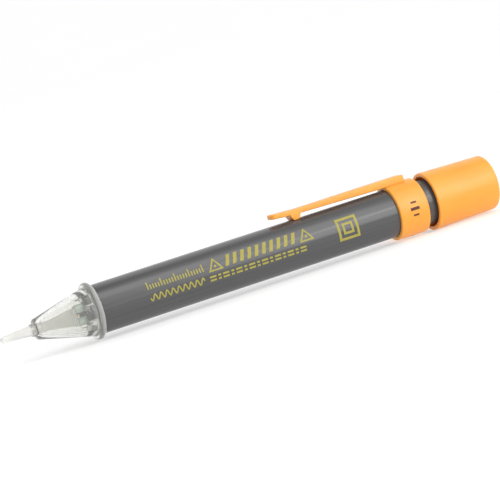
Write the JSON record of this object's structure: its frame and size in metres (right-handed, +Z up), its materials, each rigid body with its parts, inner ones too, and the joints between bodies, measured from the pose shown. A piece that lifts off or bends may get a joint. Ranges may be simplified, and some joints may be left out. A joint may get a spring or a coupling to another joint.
{
  "type": "non contact voltage tester",
  "caption": "Pen-shaped non contact voltage tester with a clear lit nose, slim sensing tip, round barrel, pocket clip and a twist-on, pull-off end cap over its cells.",
  "frame": {"origin": "under the middle of the pen's length and width, on the plane it lies on", "axes": "+X along the pen from the sensing tip to the end cap, +Z up through the pocket clip"},
  "size_m": [0.1746, 0.0192, 0.0211],
  "materials": {
    "clear_plastic": "clear moulded plastic, slightly smoky",
    "milky_plastic": "milky translucent plastic",
    "grey_plastic": "satin dark grey moulded plastic",
    "orange_plastic": "satin orange moulded plastic",
    "lamp_lens": "water-clear lamp resin",
    "board_green": "green glass-fibre board",
    "black_plastic": "black moulded plastic",
    "cell_can": "bright plated can",
    "cell_jacket": "printed plastic sleeve",
    "capacitor_can": "bare can",
    "plated_steel": "bright nickel plating",
    "contact_brass": "bright sheet brass"
  },
  "bodies": {
    "housing": {"nose_cone": "clear_plastic", "sensor_tip": "milky_plastic", "antenna_rod": "contact_brass", "antenna_spring": "plated_steel", "lamp_holder": "black_plastic", "led_upper": "lamp_lens", "led_lower": "lamp_lens", "led_leads": "plated_steel", "circuit_board": "board_green", "logic_chip": "black_plastic", "chip_leads": "plated_steel", "chip_resistors": "black_plastic", "transistors": "black_plastic", "electrolytic_capacitor": "capacitor_can", "buzzer_case": "black_plastic", "buzzer_disc": "contact_brass", "barrel": "grey_plastic", "contact_block": "black_plastic", "positive_contact": "plated_steel", "return_strip": "plated_steel", "battery_front": "cell_can", "battery_front_jacket": "cell_jacket", "battery_rear": "cell_can", "battery_rear_jacket": "cell_jacket", "clip_collar": "orange_plastic", "clip_root": "orange_plastic"},
    "clip": {"clip_arm": "orange_plastic"},
    "rear_insert": {"switch_insert": "black_plastic", "contact_rivets": "contact_brass", "spring_plate": "plated_steel", "battery_spring": "plated_steel", "strip_wiper": "contact_brass"},
    "cap": {"end_cap": "orange_plastic", "rotor_bridge": "contact_brass", "pivot_screw": "plated_steel"}
  },
  "joints": [
    {"name": "clip_flex", "type": "hinge", "parent": "housing", "child": "clip", "pos_m": [0.05215, 0, 0.0194], "axis": [0, 1, 0], "range_deg": [0, 6], "stiffness_Nm_per_rad": 1.5},
    {"name": "cap_pull", "type": "slide", "parent": "housing", "child": "rear_insert", "axis": [1, 0, 0], "range_m": [0, 0.018]},
    {"name": "cap_twist", "type": "hinge", "parent": "rear_insert", "child": "cap", "pos_m": [0.08105, 0, 0.0096], "axis": [-1, 0, 0], "range_deg": [0, 90]}
  ]
}
